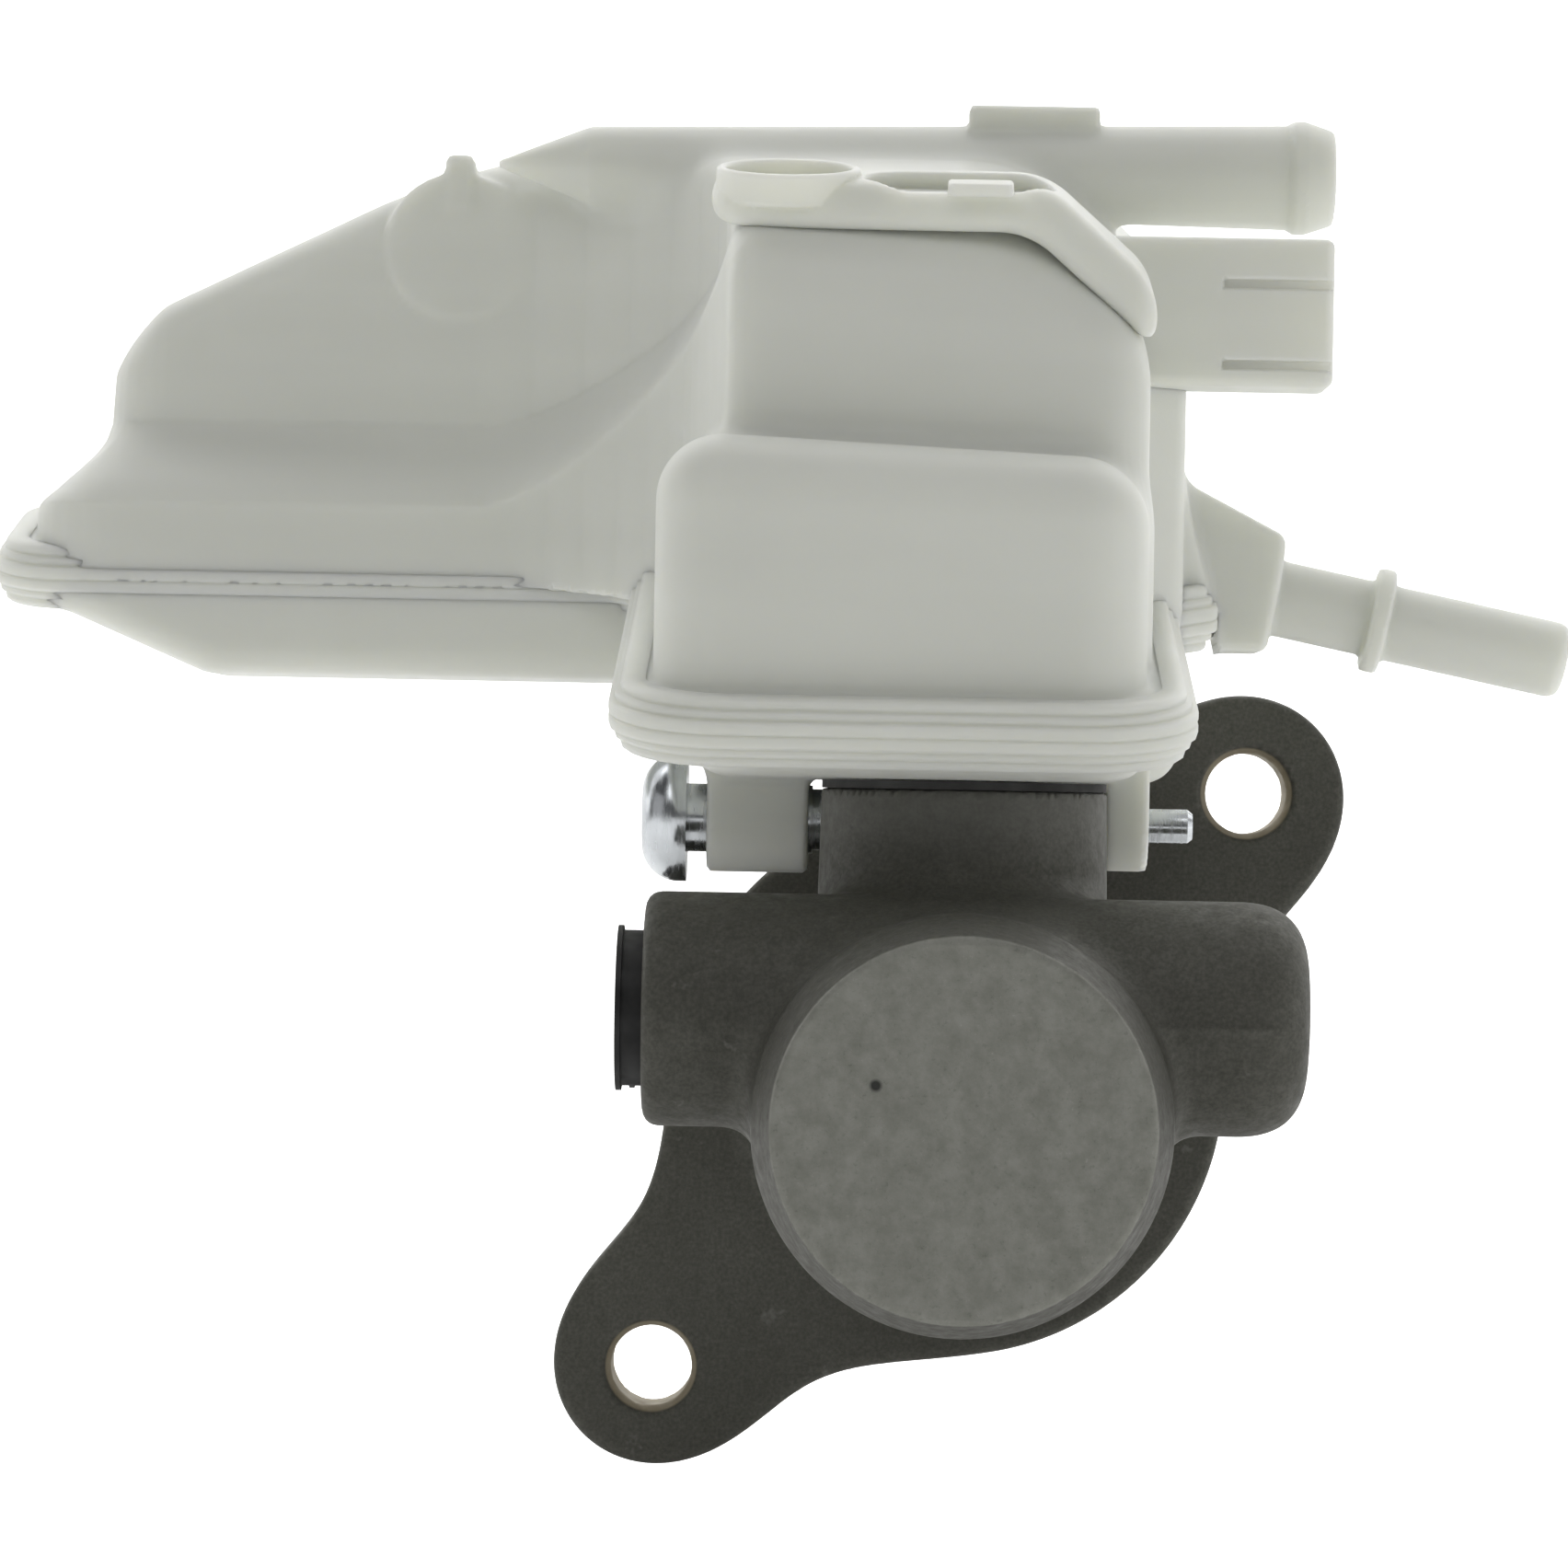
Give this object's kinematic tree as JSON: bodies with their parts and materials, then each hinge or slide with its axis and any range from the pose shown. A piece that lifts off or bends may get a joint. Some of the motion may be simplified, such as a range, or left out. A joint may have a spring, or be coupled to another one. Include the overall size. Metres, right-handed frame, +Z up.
{
  "type": "brake master cylinder",
  "caption": "Tandem brake master cylinder: cast body with a slanted bolt flange, and a tilted translucent fluid reservoir with filler tube, sensor socket and clutch nipple.",
  "frame": {"origin": "where the bore axis meets the rear face of the mounting flange", "axes": "the bore runs along Y with the nose towards -Y and the booster side towards +Y; +Z is up, towards the reservoir; +X is the side of the clutch nipple and the sensor socket"},
  "size_m": [0.1626, 0.146, 0.1425],
  "materials": {
    "cast_alloy": "sand cast, dull dark olive grey",
    "reservoir_plastic": "natural translucent polypropylene",
    "plug_plastic": "black moulded",
    "rubber": "moulded",
    "zinc_steel": "bright zinc plate",
    "spring_steel": "drawn wire",
    "piston_alloy": "anodised, turned",
    "guide_plastic": "glass-filled nylon",
    "float_foam": "closed-cell foam",
    "magnet": "sintered",
    "reed_glass": "clear capsule",
    "terminal_brass": "tinned blade"
  },
  "bodies": {
    "housing": {"cylinder_body": "cast_alloy", "spigot_o_ring": "rubber", "guide_ring": "guide_plastic", "guide_seal": "rubber", "snap_ring": "spring_steel", "secondary_spring": "spring_steel", "retaining_pin": "zinc_steel", "lower_shell": "reservoir_plastic", "upper_shell": "reservoir_plastic", "divider": "reservoir_plastic", "float_clip": "spring_steel", "reed_switch": "reed_glass", "front_grommet": "rubber", "rear_grommet": "rubber", "upper_terminal": "terminal_brass", "lower_terminal": "terminal_brass"},
    "primary_group": {"primary_piston": "piston_alloy", "primary_front_cup": "rubber", "primary_rear_cup": "rubber", "guide_screw": "zinc_steel"},
    "secondary_group": {"secondary_piston": "piston_alloy", "secondary_front_cup": "rubber", "secondary_rear_cup": "rubber", "spring_retainer": "zinc_steel", "primary_spring": "spring_steel"},
    "float_group": {"level_float": "float_foam", "float_magnet": "magnet"},
    "front_plug": {"front_port_plug": "plug_plastic"},
    "rear_plug": {"rear_port_plug": "plug_plastic"}
  },
  "joints": [
    {"name": "primary_slide", "type": "slide", "parent": "housing", "child": "primary_group", "axis": [0, -1, 0], "range_m": [0, 0.028], "deforming": ["primary_spring"]},
    {"name": "secondary_slide", "type": "slide", "parent": "housing", "child": "secondary_group", "axis": [0, -1, 0], "range_m": [0, 0.014], "deforming": ["secondary_spring"]},
    {"name": "float_slide", "type": "slide", "parent": "housing", "child": "float_group", "axis": [0, 0, 1], "range_m": [-0.019, 0.003]},
    {"name": "front_plug_slide", "type": "slide", "parent": "housing", "child": "front_plug", "axis": [-1, 0, 0], "range_m": [0, 0.03]},
    {"name": "rear_plug_slide", "type": "slide", "parent": "housing", "child": "rear_plug", "axis": [-1, 0, 0], "range_m": [0, 0.03]}
  ],
  "couplings": [
    {"joint": "secondary_slide", "follows": "primary_slide", "ratio": 0.5}
  ]
}
